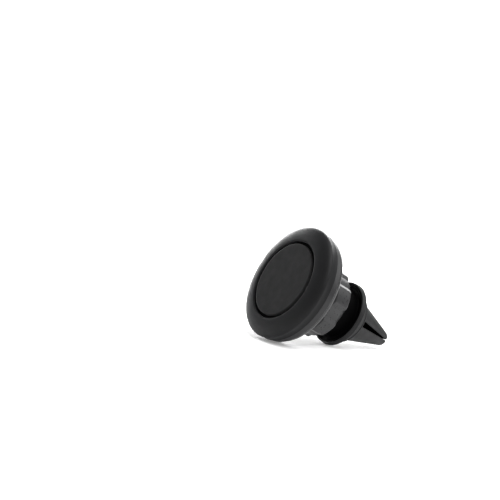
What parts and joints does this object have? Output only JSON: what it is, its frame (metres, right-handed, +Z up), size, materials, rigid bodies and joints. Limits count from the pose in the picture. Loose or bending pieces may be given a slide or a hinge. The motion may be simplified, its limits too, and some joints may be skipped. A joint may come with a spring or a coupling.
{
  "type": "magnetic air-vent phone mount",
  "caption": "Magnetic phone mount: a round soft-faced head on a ball stud, held by a ribbed lock nut in a clip whose slotted prongs grip an air-vent blade.",
  "frame": {"origin": "on the table, under the middle of the mount's bounding box", "axes": "+Z up; the mount lies on its side with its head towards -Y, its prongs towards +Y, and its long axis in the YZ plane"},
  "size_m": [0.0438, 0.0575, 0.0422],
  "materials": {
    "pad_rubber": "matte, fine texture",
    "cover_rubber": "matte soft touch",
    "black_plastic": "fine matte",
    "grey_plastic": "satin",
    "grey_trim": "satin",
    "grey_rubber": "satin silicone",
    "seat_plastic": "smooth",
    "stud_metal": "fine blasted",
    "steel": "zinc plated",
    "magnet_plate": "nickel plated"
  },
  "bodies": {
    "clip": {"clip_base": "black_plastic", "flange_boot": "grey_rubber", "prong_hub": "black_plastic", "clip_screw": "steel"},
    "seat": {"ball_seat": "seat_plastic"},
    "stud": {"ball_stud": "stud_metal", "stud_washer": "steel", "stud_screw": "steel"},
    "head": {"face_pad": "pad_rubber", "soft_cover": "cover_rubber", "magnet_tray": "black_plastic", "magnet_1": "magnet_plate", "magnet_2": "magnet_plate", "magnet_3": "magnet_plate", "magnet_4": "magnet_plate", "magnet_5": "magnet_plate", "magnet_6": "magnet_plate", "yoke_plate": "steel", "head_screws": "steel", "bezel_ring": "grey_trim", "rear_shell": "grey_trim"},
    "clamp": {"clamp_ring": "black_plastic"},
    "nut": {"lock_nut": "grey_plastic"},
    "prong_1": {"prong_core_1": "black_plastic", "prong_boot_1": "grey_rubber"},
    "prong_2": {"prong_core_2": "black_plastic", "prong_boot_2": "grey_rubber"},
    "prong_3": {"prong_core_3": "black_plastic", "prong_boot_3": "grey_rubber"},
    "prong_4": {"prong_core_4": "black_plastic", "prong_boot_4": "grey_rubber"}
  },
  "joints": [
    {"name": "ball_nod", "type": "hinge", "parent": "clip", "child": "seat", "pos_m": [0, -0.00467, 0.0159], "axis": [1, 0, 0], "range_deg": [-15, 15]},
    {"name": "ball_turn", "type": "hinge", "parent": "seat", "child": "stud", "pos_m": [0, -0.00467, 0.0159], "axis": [0, 0.354, 0.9353], "range_deg": [-15, 15]},
    {"name": "head_spin", "type": "hinge", "parent": "stud", "child": "head", "pos_m": [0, -0.01487, 0.01976], "axis": [0, -0.9353, 0.354], "continuous": true},
    {"name": "nut_travel", "type": "slide", "parent": "clip", "child": "clamp", "axis": [0, -0.9353, 0.354], "range_m": [0, 0.00076]},
    {"name": "nut_turn", "type": "hinge", "parent": "clamp", "child": "nut", "pos_m": [0, -0.00879, 0.01745], "axis": [0, -0.9353, 0.354], "range_deg": [0, 180]},
    {"name": "prong_1_flex", "type": "hinge", "parent": "clip", "child": "prong_1", "pos_m": [0.00419, 0.01025, 0.01465], "axis": [0.7009, -0.2525, -0.6671], "range_deg": [-1, 5], "stiffness_Nm_per_rad": 0.1},
    {"name": "prong_2_flex", "type": "hinge", "parent": "clip", "child": "prong_2", "pos_m": [0.00412, 0.00731, 0.00688], "axis": [-0.7133, -0.2481, -0.6555], "range_deg": [-1, 5], "stiffness_Nm_per_rad": 0.1},
    {"name": "prong_3_flex", "type": "hinge", "parent": "clip", "child": "prong_3", "pos_m": [-0.00419, 0.00733, 0.00695], "axis": [-0.7009, 0.2525, 0.6671], "range_deg": [-1, 5], "stiffness_Nm_per_rad": 0.1},
    {"name": "prong_4_flex", "type": "hinge", "parent": "clip", "child": "prong_4", "pos_m": [-0.00412, 0.01028, 0.01472], "axis": [0.7133, 0.2481, 0.6555], "range_deg": [-1, 5], "stiffness_Nm_per_rad": 0.1}
  ],
  "couplings": [
    {"joint": "nut_travel", "follows": "nut_turn", "m_per_rad": 0.00023873}
  ]
}
